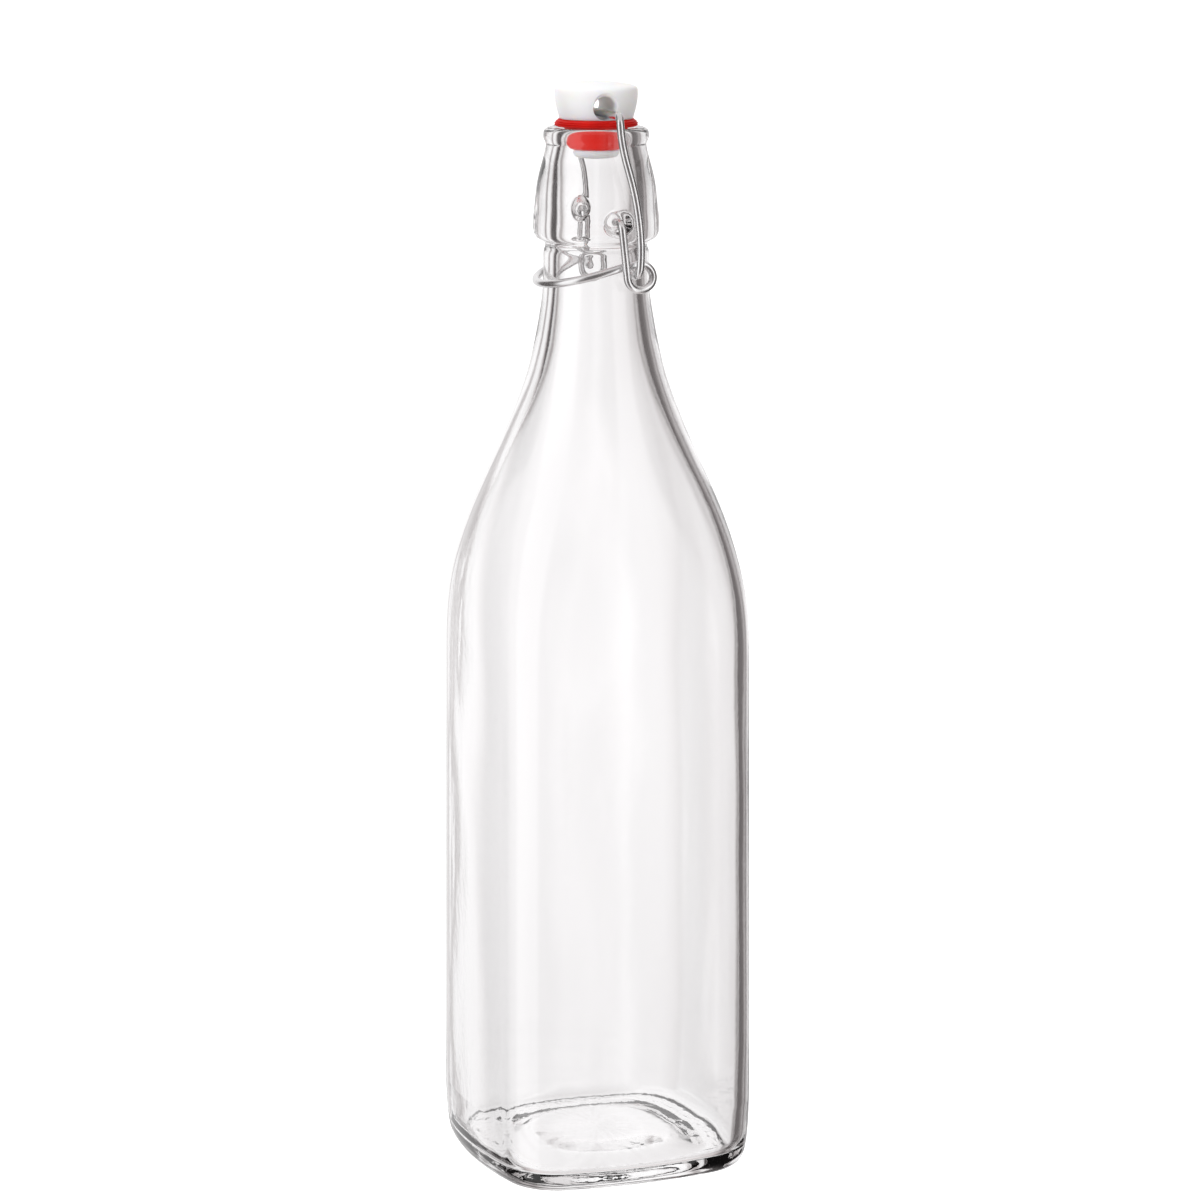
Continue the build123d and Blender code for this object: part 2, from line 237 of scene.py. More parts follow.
# --- inner wall down to the floor
WALL_Z, WALL_T = [0, 30, 148, 178, 208, 232, 240], [4.2, 3.1, 3.0, 3.4, 4.0, 4.5, 4.5]
for z in list(np.arange(239.0, 148.0, -2.5)) + list(np.arange(146.0, 26.0, -8.0)):
    c, r, w = section_numbers(z)
    t = float(pchip(WALL_Z, WALL_T, z))
    fade = float(smooth(236, 200, z)) if z > 200 else 1.0
    rings.append(ring(section_radius(c, r - t, w - t, PHI) + ripple(z, 0.16) * fade, z))
FLOOR = [(0.02, 18.0), (0.05, 14.0), (0.12, 11.0), (0.26, 8.8), (0.52, 7.2), (0.95, 6.05), (1.6, 5.3), (2.5, 4.85), (3.7, 4.65)]
low = spline(FLOOR, 0.5)
for inset, z in low:
    t = 3.2 + 0.8 * float(smooth(24, 6, z)) + inset
    rr = max(r0 - t, 0.8)
    rings.append(ring(section_radius(c0 if r0 - t > 0.8 else c0 - (0.8 - (r0 - t)), rr, w0 - t, PHI) + ripple(z, 0.16) * float(smooth(4.0, 9.0, z)), z))
last = rings[-1]
last_r = np.hypot(last[:, 0], last[:, 1])
last_m = last_r.mean()
lam = [0.975, 0.95, 0.92, 0.89, 0.86, 0.83, 0.80, 0.76, 0.72, 0.68, 0.64, 0.60, 0.56, 0.52, 0.47, 0.42, 0.37, 0.32, 0.27, 0.22, 0.17, 0.12, 0.07, 0.03]
lump = round_noise(len(lam), 0.30, 4)
for i, l in enumerate(lam):
    rad = l * (last_r * l + last_m * (1 - l))
    z = 4.62 + 2.0 * float(smooth(1.0, 0.25, l)) + 0.05 * math.sin(17 * l)
    rings.append(ring(rad, z + lump[i] * min(1.0, 5 * (1 - l)) * l))

V = np.concatenate(rings)
NR = len(rings)
lo_pole, hi_pole = rings[0][:, 2].mean(), rings[-1][:, 2].mean()
V = np.concatenate([V, [[0, 0, lo_pole + 0.005], [0, 0, hi_pole]]])
faces = []
for i in range(NR - 1):
    a, b = i * NC, (i + 1) * NC
    for j in range(NC):
        k = (j + 1) % NC
        faces.append((a + j, a + k, b + k, b + j))
for j in range(NC):
    k = (j + 1) % NC
    faces.append((NR * NC, k, j))
    faces.append((NR * NC + 1, (NR - 1) * NC + j, (NR - 1) * NC + k))
bottle = mesh_object("bottle_glass", V * MM, faces)


# ====================================================================== wires
def tube(name, path, radius, sides=28, dome=True):
    """round rod along a dense path, with domed ends and UVs: u along the wire in mm / 10, v round it"""
    p = np.asarray(path, float)
    keep = [0]
    for i in range(1, len(p)):
        if np.linalg.norm(p[i] - p[keep[-1]]) > 0.05:
            keep.append(i)
    p = p[keep]
    t = np.gradient(p, axis=0)
    t /= np.linalg.norm(t, axis=1)[:, None]
    n = np.cross(t[0], (0.3, 0.2, 0.93))
    n /= np.linalg.norm(n)
    normals = [n]
    for i in range(1, len(p)):
        n = n - t[i] * np.dot(n, t[i])
        n /= np.linalg.norm(n)
        normals.append(n)
    nn = np.array(normals)
    bb = np.cross(t, nn)
    ang = 2 * math.pi * np.arange(sides) / sides
    verts, uvs, length = [], [], 0.0
    rows = []
    if dome:                                             # cut and slightly rounded ends
        for back, rad in ((0.0, radius * 0.62), (-0.10, radius * 0.84), (-0.28, radius * 0.97)):
            rows.append((p[0] - t[0] * back, nn[0], bb[0], rad, 0.0))
    dist = 0.0
    for i in range(len(p)):
        if i:
            dist += np.linalg.norm(p[i] - p[i - 1])
        if dome and (dist < 0.5):
            continue
        rows.append((p[i], nn[i], bb[i], radius, dist))
    if dome:
        while np.linalg.norm(rows[-1][0] - p[-1]) < 0.5:
            rows.pop()
        for back, rad in ((-0.28, radius * 0.97), (-0.10, radius * 0.84), (0.0, radius * 0.62)):
            rows.append((p[-1] + t[-1] * back, nn[-1], bb[-1], rad, dist))
    for q, a, b, rad, d in rows:
        for th in ang:
            verts.append(q + (a * math.cos(th) + b * math.sin(th)) * rad)
            uvs.append((d / 10.0, th / (2 * math.pi)))
    m = len(rows)
    verts += [p[0], p[-1]]
    uvs += [(0, 0), (dist / 10, 0)]
    fs = []
    for i in range(m - 1):
        for j in range(sides):
            k = (j + 1) % sides
            fs.append((i * sides + j, i * sides + k, (i + 1) * sides + k, (i + 1) * sides + j))
    for j in range(sides):
        k = (j + 1) % sides
        fs.append((m * sides, k, j))
        fs.append((m * sides + 1, (m - 1) * sides + j, (m - 1) * sides + k))
    ob = mesh_object(name, np.array(verts) * MM, fs, uvs)
    ob.data.set_sharp_from_angle(angle=math.radians(50))
    return ob


def corner(a, b, c, radius, step=0.25):
    """points of the round bend at b between the runs from a and to c"""
    a, b, c = (np.asarray(v, float) for v in (a, b, c))
    d0, d1 = (b - a) / np.linalg.norm(b - a), (c - b) / np.linalg.norm(c - b)
    ang = math.acos(np.clip(np.dot(d0, d1), -1, 1))
    cut = radius * math.tan(ang / 2)
    bis = (d1 - d0) / np.linalg.norm(d1 - d0)
    centre = b + bis * radius / math.cos(ang / 2)
    s, e = b - d0 * cut - centre, b + d1 * cut - centre
    n = max(4, int(radius * ang / step))
    out = []
    for i in range(n + 1):
        f = i / n
        out.append(centre + (s * math.sin((1 - f) * ang) + e * math.sin(f * ang)) / math.sin(ang))
    return out


def run(a, b, step=0.6):
    a, b = np.asarray(a, float), np.asarray(b, float)
    n = max(1, int(np.linalg.norm(b - a) / step))
    return [a + (b - a) * i / n for i in range(n + 1)]


PIVOT, LINK, CROSS = (0.0, 277.2), (4.6, 261.7), (-0.3, 308.75)
WIRE_R, LEG_Y, ARM_Y, COIL, COIL_R, COIL_RX, YOKE_Y = 1.2, 20.6, 18.1, (6.2, 261.1), 3.75, 4.4, 23.08

slope = math.tan(math.radians(17.0)) * 0.97


def arc_chain(points, tangent, step=0.3):
    """dense points along planar arcs through the points, each arc tangent to the one before, and the end tangent"""
    t = np.asarray(tangent, float) / np.linalg.norm(tangent)
    out = [np.asarray(points[0], float)]
    for p, q in zip(points[:-1], points[1:]):
        p, q = np.asarray(p, float), np.asarray(q, float)
        length = np.linalg.norm(q - p)
        c = (q - p) / length
        along = float(np.dot(t, c))
        beta = math.acos(np.clip(along, -1, 1))
        big = length / (2 * math.sin(beta))
        n = c - t * along
        n /= np.linalg.norm(n)
        centre = p + big * n
        count = max(6, int(big * 2 * beta / step))
        for i in range(1, count + 1):
            th = 2 * beta * i / count
            out.append(centre - big * math.cos(th) * n + big * math.sin(th) * t)
        t = 2 * along * c - t
    return out, t


flip = lambda rows: [np.array([q[0], -q[1], q[2]]) for q in rows]
leg_dir = np.array([PIVOT[0] - (COIL[0] - COIL_RX), 0, PIVOT[1] - COIL[1]])
leg_dir /= np.linalg.norm(leg_dir)
loop_points = []
for i, share in enumerate((0, 1 / 6, 3 / 6, 5 / 6, 1)):        # left, bottom, right, top, stepping towards the neck
    a = math.radians(180 + 67.5 * i)
    loop_points.append((COIL[0] + COIL_RX * math.cos(a), LEG_Y + (ARM_Y - LEG_Y) * share, COIL[1] + COIL_R * math.sin(a)))
loop, arm_dir = arc_chain(loop_points, -leg_dir)
handle = [(17.9 * math.cos(math.radians(d)), ARM_Y * math.sin(math.radians(d)), COIL[1] + COIL_R - 1.15 + 17.9 * math.cos(math.radians(d)) * slope)
          for d in (97.5, 120, 150, 180, 210, 240, 262.5)]
P_top = lambda s: (PIVOT[0], s * LEG_Y, PIVOT[1])
P_in = lambda s: (PIVOT[0], s * 15.2, PIVOT[1])
bend = corner(P_in(1), P_top(1), loop_points[0], 2.4)
half = run(P_in(1), bend[0]) + bend + run(bend[-1], loop_points[0]) + loop
arm = spline([loop_points[-1]] + handle + [flip([loop_points[-1]])[0]], 0.5, arm_dir, (-arm_dir[0], arm_dir[1], -arm_dir[2]))
path = half + list(arm) + flip(half)[::-1]
lever = tube("lever_bail", path, WIRE_R)

LEG_ROWS = [(-0.55, 306.3, 20.75), (-0.3, 303.0, 20.95), (0.45, 298.0, 21.35), (2.75, 288.3, 22.35), (4.3, 279.0, YOKE_Y),
            (5.0, 271.7, YOKE_Y), (4.85, 264.3, YOKE_Y)]


def yoke_half(s):
    leg = [(x, s * y, z) for x, z, y in LEG_ROWS]
    top = np.array(leg[1]) - np.array(leg[0])
    top /= np.linalg.norm(top)
    lowd = np.array([-0.095, 0, -0.9955])
    pts = run((CROSS[0], 0, CROSS[1]), (CROSS[0], s * 18.4, CROSS[1]))
    pts += list(spline([(CROSS[0], s * 18.4, CROSS[1]), leg[0]], 0.25, (0, s, 0), top))
    pts += list(spline(leg, 0.5, top, lowd))
    pts += list(spline([leg[-1], (LINK[0], s * (YOKE_Y - 2.2), LINK[1])], 0.25, lowd, (0, -s, 0)))
    pts += run((LINK[0], s * (YOKE_Y - 2.2), LINK[1]), (LINK[0], s * 17.2, LINK[1]))
    return pts


yoke = tube("yoke_bail", yoke_half(1)[::-1] + yoke_half(-1), WIRE_R)


# ====================================================================== turned pieces
def lathe(name, profile, columns=160, uv=True):
    """closed surface of revolution from a profile that starts and ends on the axis, or a closed loop away from it"""
    prof = np.asarray(profile, float)
    on_axis = prof[0][0] < 1e-6 and prof[-1][0] < 1e-6
    inner = prof[1:-1] if on_axis else prof
    ang = 2 * math.pi * np.arange(columns) / columns
    verts = [(r * math.cos(a), r * math.sin(a), z) for r, z in inner for a in ang]
    m = len(inner)
    fs = []
    rows = range(m - 1) if on_axis else range(m)
    for i in rows:
        i2 = (i + 1) % m
        for j in range(columns):
            k = (j + 1) % columns
            fs.append((i * columns + j, i * columns + k, i2 * columns + k, i2 * columns + j))
    if on_axis:
        verts += [(0, 0, prof[0][1]), (0, 0, prof[-1][1])]
        for j in range(columns):
            k = (j + 1) % columns
            fs.append((m * columns, k, j))
            fs.append((m * columns + 1, (m - 1) * columns + j, (m - 1) * columns + k))
    return mesh_object(name, np.array(verts) * MM, fs)


def rounded(points, radius, step=0.12):
    """polyline of (r, z) with its inner corners rounded"""
    out = [np.array(points[0], float)]
    for i in range(1, len(points) - 1):
        a, b, c = (np.array(points[j], float) for j in (i - 1, i, i + 1))
        rad = radius if np.isscalar(radius) else radius[i - 1]
        la, lc = np.linalg.norm(b - a), np.linalg.norm(c - b)
        ang = math.acos(np.clip(np.dot((b - a) / la, (c - b) / lc), -1, 1))
        if ang < 0.03 or rad <= 0:
            out.append(b)
            continue
        cut = min(rad * math.tan(ang / 2), 0.45 * la, 0.45 * lc)
        s, e = b + (a - b) / la * cut, b + (c - b) / lc * cut
        n = max(3, int(cut * 2 / step))
        for k in range(n + 1):
            f = k / n
            out.append((1 - f) ** 2 * s + 2 * f * (1 - f) * b + f * f * e)
    out.append(np.array(points[-1], float))
    dense = [out[0]]
    for q in out[1:]:
        n = max(1, int(np.linalg.norm(q - dense[-1]) / 0.5))
        base = dense[-1]
        for k in range(1, n + 1):
            dense.append(base + (q - base) * k / n)
    return dense


# --- stopper: cap with a see-through cross bore, stem and retaining head
BORE_Z, BORE_R, BORE_YAW = 310.35, 3.35, -7.5
head = spline([(0, 294.5), (3.0, 294.52), (5.2, 294.78), (6.4, 295.35), (6.85, 296.15), (6.78, 297.0), (6.3, 297.38)], 0.3, (1, 0), (-1, 0.3))
cap = spline([(11.05, 306.95), (11.22, 307.5), (11.62, 308.9), (12.08, 310.7), (12.34, 312.3), (12.45, 313.9), (12.44, 315.2), (12.22, 316.0), (11.6, 316.55),
              (10.6, 316.85), (8.0, 317.3), (4.5, 317.75), (0, 317.95)], 0.35, (0.2, 1), (-1, 0))
profile = [tuple(q) for q in head] + [(4.2, 297.4), (4.2, 306.75), (10.85, 306.75)] + [tuple(q) for q in cap]
stopper = lathe("stopper_cap", profile, 200)

flare = spline([(6.4, 14.6), (5.0, 12.75), (4.15, 11.9), (3.65, 11.15), (3.42, 10.3), (3.35, 9.2)], 0.16)
cut = [(0, 14.6)] + [tuple(q) for q in flare] + [(3.35, 0.0)] + [(r, -z) for r, z in flare[::-1]] + [(0, -14.6)]
cut = cut[::-1]
cutter = lathe("cross_bore_cutter", cut, 96)
me = cutter.data
co = np.array([v.co for v in me.vertices])
yaw = math.radians(BORE_YAW)
new = np.stack([co[:, 0], co[:, 2], -co[:, 1]], 1)       # axis from Z to Y
rot = np.stack([new[:, 0] * math.cos(yaw) - new[:, 1] * math.sin(yaw), new[:, 0] * math.sin(yaw) + new[:, 1] * math.cos(yaw), new[:, 2] + BORE_Z * MM], 1)
me.vertices.foreach_set("co", rot.astype(np.float32).ravel())
me.update()
bpy.context.view_layer.update()
mod = stopper.modifiers.new("bore", "BOOLEAN")
mod.operation, mod.object, mod.solver = "DIFFERENCE", cutter, "EXACT"
dg = bpy.context.evaluated_depsgraph_get()
done = bpy.data.meshes.new_from_object(stopper.evaluated_get(dg))
stopper.modifiers.clear()
old = stopper.data
stopper.data = done
bpy.data.meshes.remove(old)
bpy.data.objects.remove(cutter)
stopper.data.name = "stopper_cap"
stopper.data.polygons.foreach_set("use_smooth", [True] * len(stopper.data.polygons))
stopper.data.set_sharp_from_angle(angle=math.radians(42))

# --- gasket: plug in the mouth, flange with three ribs, one piece of rubber
g_pts = [(4.3, 297.45), (6.7, 297.45), (7.75, 298.3), (8.72, 300.95), (9.02, 302.05), (9.3, 302.3), (9.46, 303.2), (9.5, 304.0), (9.9, 304.42), (11.55, 304.4),
         (12.35, 304.72), (12.55, 304.98), (12.2, 305.16), (12.2, 305.28), (12.5, 305.42), (12.45, 305.62), (12.0, 305.75), (12.0, 305.88),
         (12.15, 306.0), (11.95, 306.2), (11.45, 306.45), (11.35, 306.7), (4.3, 306.7)]
g_round = [0.15, 0.9, 1.5, 0.12, 0.1, 0.6, 0.3, 0.3, 0.3, 0.12, 0.07, 0.06, 0.06, 0.07, 0.12, 0.06, 0.06, 0.07, 0.15, 0.2, 0.1]
loop = rounded(g_pts, g_round)
gasket = lathe("rubber_gasket", loop, 160)

for ob in (bottle, stopper, gasket, lever, yoke):
    bm = bmesh.new()
    bm.from_mesh(ob.data)
    bmesh.ops.recalc_face_normals(bm, faces=bm.faces)
    vol = bm.calc_volume(signed=True)
    if vol < 0:
        bmesh.ops.reverse_faces(bm, faces=bm.faces)
    open_edges = sum(1 for e in bm.edges if len(e.link_faces) != 2)
    print("PIECE", ob.name, "volume ml", round(abs(vol) * 1e6, 2), "faces", len(bm.faces), "open edges", open_edges)
    bm.to_mesh(ob.data)
    bm.free()


# ====================================================================== materials
def new_material(name):
    m = bpy.data.materials.new(name)
    m.use_nodes = True
    m.node_tree.nodes.clear()
    return m, m.node_tree


def add(tree, kind, **values):
    n = tree.nodes.new(kind)
    for k, v in values.items():
        if k.startswith("i_"):
            key = k[2:].replace("_", " ")
            n.inputs[key].default_value = v
        else:
            setattr(n, k, v)
    return n


def link(tree, a, b):
    tree.links.new(a, b)


def math_node(tree, op, a, b=None, clamp=False):
    n = tree.nodes.new("ShaderNodeMath")
    n.operation, n.use_clamp = op, clamp
    for i, v in enumerate((a, b)):
        if v is None:
            continue
        if isinstance(v, (int, float)):
            n.inputs[i].default_value = v
        else:
            tree.links.new(v, n.inputs[i])
    return n.outputs[0]


def ramp(tree, fac, stops, interpolation="LINEAR"):
    n = tree.nodes.new("ShaderNodeValToRGB")
    n.color_ramp.interpolation = interpolation
    els = n.color_ramp.elements
    while len(els) > 1:
        els.remove(els[-1])
    els[0].position = stops[0][0]
    els[0].color = tuple(stops[0][1]) if hasattr(stops[0][1], "__len__") else (stops[0][1],) * 3 + (1,)
    for p, c in stops[1:]:
        e = els.new(p)
        e.color = tuple(c) if hasattr(c, "__len__") else (c, c, c, 1)
    tree.links.new(fac, n.inputs[0])
    return n.outputs[0]


def smoothed_step(tree, value, a, b):
    n = tree.nodes.new("ShaderNodeMapRange")
    n.interpolation_type = "SMOOTHSTEP"
    n.inputs["From Min"].default_value, n.inputs["From Max"].default_value = a, b
    tree.links.new(value, n.inputs["Value"])
    return n.outputs["Result"]


def glass_material():
    m, t = new_material("clear_bottle_glass")
    out = add(t, "ShaderNodeOutputMaterial")
    geo = add(t, "ShaderNodeNewGeometry")
    # drawn-out unevenness of pressed and blown glass, and the fine skin the mould leaves
    tex = add(t, "ShaderNodeTexCoord")
    mp = add(t, "ShaderNodeMapping")
    mp.inputs["Scale"].default_value = (1.0, 1.0, 0.35)
    link(t, tex.outputs["Object"], mp.inputs["Vector"])
    n1 = add(t, "ShaderNodeTexNoise", i_Scale=38.0, i_Detail=2.0, i_Roughness=0.45)
    link(t, mp.outputs[0], n1.inputs["Vector"])
    n2 = add(t, "ShaderNodeTexNoise", i_Scale=420.0, i_Detail=2.0, i_Roughness=0.5)
    link(t, tex.outputs["Object"], n2.inputs["Vector"])
    b1 = add(t, "ShaderNodeBump", i_Strength=0.22, i_Distance=0.0012)
    link(t, n1.outputs["Fac"], b1.inputs["Height"])
    b2 = add(t, "ShaderNodeBump", i_Strength=0.10, i_Distance=0.0001)
    link(t, n2.outputs["Fac"], b2.inputs["Height"])
    link(t, b1.outputs[0], b2.inputs["Normal"])
    rough = ramp(t, n2.outputs["Fac"], [(0.3, 0.0), (0.75, 0.022)])
    bs = add(t, "ShaderNodeBsdfPrincipled")
    bs.inputs["Base Color"].default_value = (0.990, 0.987, 0.988, 1)
    bs.inputs["Transmission Weight"].default_value = 1.0
    bs.inputs["IOR"].default_value = 1.51
    link(t, rough, bs.inputs["Roughness"])
    link(t, b2.outputs[0], bs.inputs["Normal"])
    lp = add(t, "ShaderNodeLightPath")
    tr = add(t, "ShaderNodeBsdfTransparent")
    tr.inputs[0].default_value = (0.975, 0.975, 0.97, 1)
    fac = math_node(t, "MAXIMUM", lp.outputs["Is Shadow Ray"], lp.outputs["Is Diffuse Ray"])
    mix = add(t, "ShaderNodeMixShader")
    link(t, fac, mix.inputs[0])
    link(t, bs.outputs[0], mix.inputs[1])
    link(t, tr.outputs[0], mix.inputs[2])
    link(t, mix.outputs[0], out.inputs["Surface"])
    ab = add(t, "ShaderNodeVolumeAbsorption", i_Density=2.4)
    ab.inputs["Color"].default_value = (0.845, 0.850, 0.850, 1)
    link(t, ab.outputs[0], out.inputs["Volume"])
    return m


def stopper_material():
    m, t = new_material("satin_white_stopper")
    out = add(t, "ShaderNodeOutputMaterial")
    tex = add(t, "ShaderNodeTexCoord")
    fine = add(t, "ShaderNodeTexNoise", i_Scale=2600.0, i_Detail=3.0)
    slow = add(t, "ShaderNodeTexNoise", i_Scale=90.0, i_Detail=3.0, i_Roughness=0.6)
    for n in (fine, slow):
        link(t, tex.outputs["Object"], n.inputs["Vector"])
    col = ramp(t, slow.outputs["Fac"], [(0.3, (0.855, 0.862, 0.868, 1)), (0.7, (0.895, 0.900, 0.905, 1))])
    rough = ramp(t, slow.outputs["Fac"], [(0.25, 0.30), (0.75, 0.42)])
    b1 = add(t, "ShaderNodeBump", i_Strength=0.14, i_Distance=0.00006)
    link(t, fine.outputs["Fac"], b1.inputs["Height"])
    b2 = add(t, "ShaderNodeBump", i_Strength=0.10, i_Distance=0.0006)
    link(t, slow.outputs["Fac"], b2.inputs["Height"])
    link(t, b1.outputs[0], b2.inputs["Normal"])
    bs = add(t, "ShaderNodeBsdfPrincipled")
    link(t, col, bs.inputs["Base Color"])
    link(t, rough, bs.inputs["Roughness"])
    link(t, b2.outputs[0], bs.inputs["Normal"])
    bs.inputs["Subsurface Weight"].default_value = 0.65
    bs.inputs["Subsurface Radius"].default_value = (0.0060, 0.0044, 0.0030)
    bs.inputs["Subsurface Scale"].default_value = 1.0
    bs.inputs["IOR"].default_value = 1.5
    link(t, bs.outputs[0], out.inputs["Surface"])
    return m


def rubber_material():
    m, t = new_material("red_rubber_gasket")
    out = add(t, "ShaderNodeOutputMaterial")
    tex = add(t, "ShaderNodeTexCoord")
    fine = add(t, "ShaderNodeTexNoise", i_Scale=1800.0, i_Detail=4.0)
    slow = add(t, "ShaderNodeTexNoise", i_Scale=160.0, i_Detail=3.0)
    for n in (fine, slow):
        link(t, tex.outputs["Object"], n.inputs["Vector"])
    sep = add(t, "ShaderNodeSeparateXYZ")
    link(t, tex.outputs["Object"], sep.inputs[0])
    # painted light: the plug in the glass gets a brighter red than the flange, though both are the same rubber
    plug_painted_light_zone = smoothed_step(t, sep.outputs["Z"], 0.3042, 0.3036)        # 1 on the plug, 0 on the flange
    col = ramp(t, slow.outputs["Fac"], [(0.25, (0.52, 0.006, 0.004, 1)), (0.75, (0.66, 0.011, 0.007, 1))])
    rubber_colour_painted_plug_light = add(t, "ShaderNodeMix", data_type="RGBA")
    link(t, plug_painted_light_zone, rubber_colour_painted_plug_light.inputs[0])
    link(t, col, rubber_colour_painted_plug_light.inputs[6])
    # painted light: the plug's brighter red stands for how it is lit in the glass, not a different rubber
    rubber_colour_painted_plug_light.inputs[7].default_value = (0.90, 0.012, 0.003, 1)
    rg = add(t, "ShaderNodeMix", data_type="FLOAT")
    link(t, plug_painted_light_zone, rg.inputs[0])
    link(t, ramp(t, fine.outputs["Fac"], [(0.3, 0.50), (0.7, 0.66)]), rg.inputs[2])
    rg.inputs[3].default_value = 0.28
    b1 = add(t, "ShaderNodeBump", i_Strength=0.25, i_Distance=0.00008)
    link(t, fine.outputs["Fac"], b1.inputs["Height"])
    b2 = add(t, "ShaderNodeBump", i_Strength=0.12, i_Distance=0.0005)
    link(t, slow.outputs["Fac"], b2.inputs["Height"])
    link(t, b1.outputs[0], b2.inputs["Normal"])
    bs = add(t, "ShaderNodeBsdfPrincipled")
    link(t, rubber_colour_painted_plug_light.outputs[2], bs.inputs["Base Color"])
    link(t, rg.outputs[0], bs.inputs["Roughness"])
    link(t, b2.outputs[0], bs.inputs["Normal"])
    bs.inputs["Specular IOR Level"].default_value = 0.20
    link(t, bs.outputs[0], out.inputs["Surface"])
    return m


def wire_material():
    m, t = new_material("bright_drawn_wire")
    out = add(t, "ShaderNodeOutputMaterial")
    uv = add(t, "ShaderNodeUVMap", uv_map="wrap")
    mp = add(t, "ShaderNodeMapping")
    mp.inputs["Scale"].default_value = (0.35, 26.0, 1.0)               # long draw lines along the wire
    link(t, uv.outputs[0], mp.inputs["Vector"])
    lines = add(t, "ShaderNodeTexNoise", i_Scale=3.0, i_Detail=3.0, i_Roughness=0.55)
    link(t, mp.outputs[0], lines.inputs["Vector"])
    tex = add(t, "ShaderNodeTexCoord")
    cloud = add(t, "ShaderNodeTexNoise", i_Scale=260.0, i_Detail=3.0)
    link(t, tex.outputs["Object"], cloud.inputs["Vector"])
    rough = add(t, "ShaderNodeMix", data_type="FLOAT")
    link(t, cloud.outputs["Fac"], rough.inputs[0])
    rough.inputs[2].default_value, rough.inputs[3].default_value = 0.20, 0.32
    col = ramp(t, cloud.outputs["Fac"], [(0.25, (0.74, 0.74, 0.75, 1)), (0.75, (0.87, 0.865, 0.86, 1))])
    b1 = add(t, "ShaderNodeBump", i_Strength=0.12, i_Distance=0.00006)
    link(t, lines.outputs["Fac"], b1.inputs["Height"])
    bs = add(t, "ShaderNodeBsdfPrincipled")
    link(t, col, bs.inputs["Base Color"])
    bs.inputs["Metallic"].default_value = 1.0
    link(t, rough.outputs[0], bs.inputs["Roughness"])
    link(t, b1.outputs[0], bs.inputs["Normal"])
    link(t, bs.outputs[0], out.inputs["Surface"])
    return m


def put(ob, mat):
    ob.data.materials.clear()
    ob.data.materials.append(mat)


put(bottle, glass_material())
put(stopper, stopper_material())
put(gasket, rubber_material())
steel = wire_material()
put(lever, steel)
put(yoke, steel)

# ====================================================================== riding on the frame
for ob, body, node, slot in ((bottle, "bottle", "glass_bottle", "clear_glass"), (stopper, "stopper", "stopper", "white_stopper"),
                             (gasket, "stopper", "gasket", "red_rubber"), (lever, "lever", "lever_wire", "steel_wire"),
                             (yoke, "yoke", "yoke_wire", "steel_wire")):
    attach(ob, body)
    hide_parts(node)

# ====================================================================== studio
def studio_level(tree, direction):
    """brightness of the soft studio in a world direction. Through the glass: a pale backdrop that falls off to both sides between two dark
    flags. In reflections: the same backdrop ahead of the camera, dark sides and soft boxes beside the camera."""
    vt = tree.nodes.new("ShaderNodeVectorTransform")
    vt.vector_type, vt.convert_from, vt.convert_to = "VECTOR", "WORLD", "CAMERA"
    tree.links.new(direction, vt.inputs[0])
    sep = tree.nodes.new("ShaderNodeSeparateXYZ")
    tree.links.new(vt.outputs[0], sep.inputs[0])
    x, y, z = sep.outputs
    ang = math_node(tree, "ARCTAN2", x, z)
    pos = math_node(tree, "ADD", math_node(tree, "DIVIDE", ang, 2 * math.pi), 0.5)
    d = lambda deg: 0.5 + deg / 360.0
    through = ramp(tree, pos, [(d(a), v) for a, v in THROUGH])
    mirror = ramp(tree, pos, [(d(a), v) for a, v in MIRROR], "EASE")
    path = tree.nodes.new("ShaderNodeLightPath")
    pick = tree.nodes.new("ShaderNodeMix")
    pick.data_type = "FLOAT"
    tree.links.new(path.outputs["Is Transmission Ray"], pick.inputs[0])
    tree.links.new(mirror, pick.inputs[2])
    tree.links.new(through, pick.inputs[3])
    up = smoothed_step(tree, y, 0.45, 0.75)
    mix = tree.nodes.new("ShaderNodeMix")
    mix.data_type = "FLOAT"
    tree.links.new(up, mix.inputs[0])
    tree.links.new(pick.outputs[0], mix.inputs[2])
    mix.inputs[3].default_value = 0.75
    tint = tree.nodes.new("ShaderNodeMix")                # the dark surroundings are a warmer grey than the backdrop
    tint.data_type, tint.clamp_factor = "RGBA", True
    tree.links.new(mix.outputs[0], tint.inputs[0])
    tint.inputs[6].default_value, tint.inputs[7].default_value = (1.0, 0.895, 0.89, 1), (1.0, 0.992, 0.996, 1)
    return mix.outputs[0], y, tint.outputs[2]


# degrees to the right of the camera's view against brightness
THROUGH = [(-180, 0.28), (-112, 0.8), (-92, 0.6), (-78, 0.4), (-69, 0.10), (-53, 0.10), (-48.5, 0.45), (-45, 0.82), (-41, 1.0), (-33, 1.0),
           (-29, 0.55), (-25, 0.40), (-22, 0.78), (-18, 1.02), (-12, 1.07), (-5, 1.07), (-1.6, 1.02), (0, 1.09), (1.5, 0.99), (6, 0.91), (13, 0.83),
           (17, 0.76), (20.5, 0.60), (24, 0.28), (28, 0.40), (32, 0.42), (36, 0.26), (41, 0.16), (61, 0.14), (70, 0.9), (110, 1.1), (180, 0.28)]
MIRROR = [(-180, 0.16), (-150, 0.16), (-143, 1.3), (-108, 1.3), (-100, 0.12), (-57, 0.12), (-47, 0.95), (-24, 1.0), (0, 1.0), (22, 0.96),
          (31, 0.85), (41, 0.10), (112, 0.10), (119, 1.5), (142, 1.5), (150, 0.16), (180, 0.16)]

